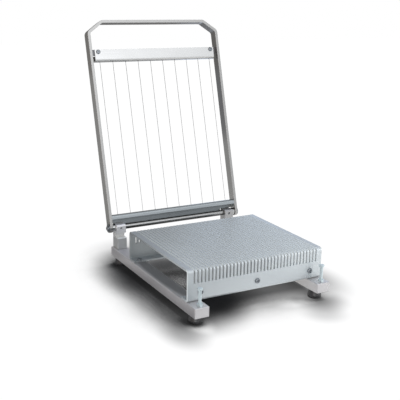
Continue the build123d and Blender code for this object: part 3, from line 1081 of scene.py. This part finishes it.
# The ceiling's light is cooler still; polished metal shows the neutral lamps instead
overhead = add_node(
    tree, "ShaderNodeMapRange", {"Value": parts.outputs["Z"], "From Min": 0.2, "From Max": 0.7}
)
cooled = add_node(
    tree,
    "ShaderNodeMath",
    {0: overhead.outputs["Result"], 1: rays.outputs["Is Diffuse Ray"]},
    operation="MULTIPLY",
)
# A Mix node keeps a socket for each kind of value: its colours are 6 and 7, out at 2
room_colour = add_node(
    tree,
    "ShaderNodeMix",
    {"Factor": cooled.outputs["Value"], 6: tint.outputs["Color"], 7: linear("#E6EEFF")},
    data_type="RGBA",
)
room = add_node(
    tree,
    "ShaderNodeBackground",
    {"Color": room_colour.outputs[2], "Strength": strength.outputs["Result"]},
)
print("room colour on", room.name)

# %% White background
behind = add_node(
    tree, "ShaderNodeMapRange", {"Value": parts.outputs["Y"], "From Min": 0.1, "From Max": 0.5}
)
mirrored = add_node(
    tree,
    "ShaderNodeMath",
    {0: rays.outputs["Is Glossy Ray"], 1: rays.outputs["Is Transmission Ray"]},
    operation="MAXIMUM",
)
mirrored_behind = add_node(
    tree,
    "ShaderNodeMath",
    {0: mirrored.outputs["Value"], 1: behind.outputs["Result"]},
    operation="MULTIPLY",
)
shown = add_node(
    tree,
    "ShaderNodeMath",
    {0: rays.outputs["Is Camera Ray"], 1: mirrored_behind.outputs["Value"]},
    operation="MAXIMUM",
)
white = add_node(tree, "ShaderNodeBackground", {"Color": linear("#FFFFFF"), "Strength": 1.0})
background = add_node(
    tree,
    "ShaderNodeMixShader",
    {0: shown.outputs["Value"], 1: room.outputs["Background"], 2: white.outputs["Background"]},
)
add_node(tree, "ShaderNodeOutputWorld", {"Surface": background.outputs["Shader"]})
print(world.name, "has", len(tree.nodes), "nodes")

# %% [markdown]
# ## Lamps and cards
#
# One large soft lamp stands in front on the right, a second hangs above, and a
# small one stands low in front on the right. Photographers put grey and white cards
# round polished metal, so that its faces stand out from a white background. Six
# cards stand behind the cutter, one bright card stands in front of it, and five lie
# on the floor. Only reflections show them.

# %% Lamps
def soft_lamp(name, place, target, size, power, colour="#FFFFFF"):
    """A rectangular lamp that faces its target, with its power in watts."""
    data = bpy.data.lights.new(name, "AREA")
    data.shape = "RECTANGLE"
    data.size, data.size_y = size
    data.energy = power
    data.color = linear(colour)[:3]
    lamp = bpy.data.objects.new(name, data)
    bpy.context.scene.collection.objects.link(lamp)
    lamp.location = place
    lamp.rotation_euler = (Vector(target) - Vector(place)).to_track_quat("-Z", "Y").to_euler()
    lamp.visible_glossy = False
    print(name, power, "W")


soft_lamp("front_right_softbox", (1.15, -1.75, 0.95), (0, 0.1, 0.35), (1.3, 1.1), 8.0)
soft_lamp("overhead_softbox", (0.2, -0.3, 2.2), (0, 0, 0), (1.6, 1.6), 11.0, "#D2DEFF")
soft_lamp("low_right_softbox", (0.75, -1.0, 0.28), (0.15, -0.25, 0.03), (0.5, 0.35), 4.5)

# %% Grey cards
behind_y, floor_z = 0.40, 0.001


def grey_card(name, low, high, colour, at=behind_y, flat=False, strength=1.0):
    """A card that only reflections show: upright at one depth, or flat on the floor."""
    paper, tree = new_finish(name.replace("_", " "))
    shine = add_node(tree, "ShaderNodeEmission", {"Color": linear(colour), "Strength": strength})
    add_node(tree, "ShaderNodeOutputMaterial", {"Surface": shine.outputs["Emission"]})
    mesh = bpy.data.meshes.new(name)
    (x0, v0), (x1, v1) = low, high
    corners = [(x0, v0), (x1, v0), (x1, v1), (x0, v1)]
    corners = [(x, v, floor_z) if flat else (x, at, v) for x, v in corners]
    mesh.from_pydata(corners, [], [(0, 1, 2, 3)])
    mesh.materials.append(paper)
    card = bpy.data.objects.new(name, mesh)
    bpy.context.scene.collection.objects.link(card)
    card.visible_camera = card.visible_diffuse = card.visible_shadow = False
    print(name, colour)


grey_card("left_card", (-1.5, 0.0), (-0.18, 0.38), "#B4B4B3")
grey_card("middle_low_card", (-0.18, 0.0), (0.17, 0.20), "#BEBFBF")
grey_card("middle_high_card", (-0.18, 0.20), (0.17, 0.38), "#94969A")
grey_card("right_card", (0.17, 0.0), (1.5, 0.38), "#E2EDFF", strength=1.3)
grey_card("upper_left_card", (-1.5, 0.38), (-0.2, 0.80), "#A09E9C")
grey_card("upper_right_card", (-0.2, 0.38), (1.5, 0.80), "#8A8988")
grey_card(
    "front_left_reflector", (-0.75, 0.05), (-0.15, 0.45), "#FFFFFF", at=-1.0, strength=3.0
)
grey_card("rear_floor_card", (-0.62, 0.14), (-0.17, 0.395), "#858583", flat=True)
grey_card("front_floor_card", (-0.35, -0.62), (0.06, -0.34), "#7C7D7F", flat=True)
grey_card("right_floor_card", (0.06, -0.62), (0.20, -0.34), "#CFD0D2", flat=True)
grey_card("under_table_card", (-0.02, -0.24), (0.115, -0.02), "#FFFFFF", flat=True)
grey_card("rear_plate_card", (-0.11, -0.17), (-0.02, -0.04), "#FFFFFF", flat=True)

# %% [markdown]
# ## Camera
#
# The picture was taken from the front left, a little above the cutter. The camera's
# place, turn and lens were worked out from the cutter's own edges in that picture.

# %% Camera
view_azimuth, view_elevation, view_roll = radians(-29.357), radians(15.545), radians(1.22)
lens_pixels, picture_pixels, sensor_width = 776.8, 400, 36.0
camera_place = Vector((-0.76862, -1.36091, 0.59241))

back = Vector(
    (
        sin(view_azimuth) * cos(view_elevation),
        -cos(view_azimuth) * cos(view_elevation),
        sin(view_elevation),
    )
)
level = (-back).cross(Vector((0, 0, 1))).normalized()
upright = level.cross(-back)
right = level * cos(view_roll) + upright * sin(view_roll)
up = upright * cos(view_roll) - level * sin(view_roll)
turned = Matrix((right, up, back)).transposed().to_4x4()
camera_data = bpy.data.cameras.new("camera")
camera_data.sensor_fit = "HORIZONTAL"
camera_data.sensor_width = sensor_width
camera_data.lens = lens_pixels / picture_pixels * sensor_width
camera = bpy.data.objects.new("camera", camera_data)
bpy.context.scene.collection.objects.link(camera)
camera.matrix_world = Matrix.Translation(camera_place) @ turned
bpy.context.scene.camera = camera
bpy.context.scene.view_settings.view_transform = "Standard"
print("camera at", [round(v, 3) for v in camera_place], "lens", round(camera_data.lens, 1), "mm")
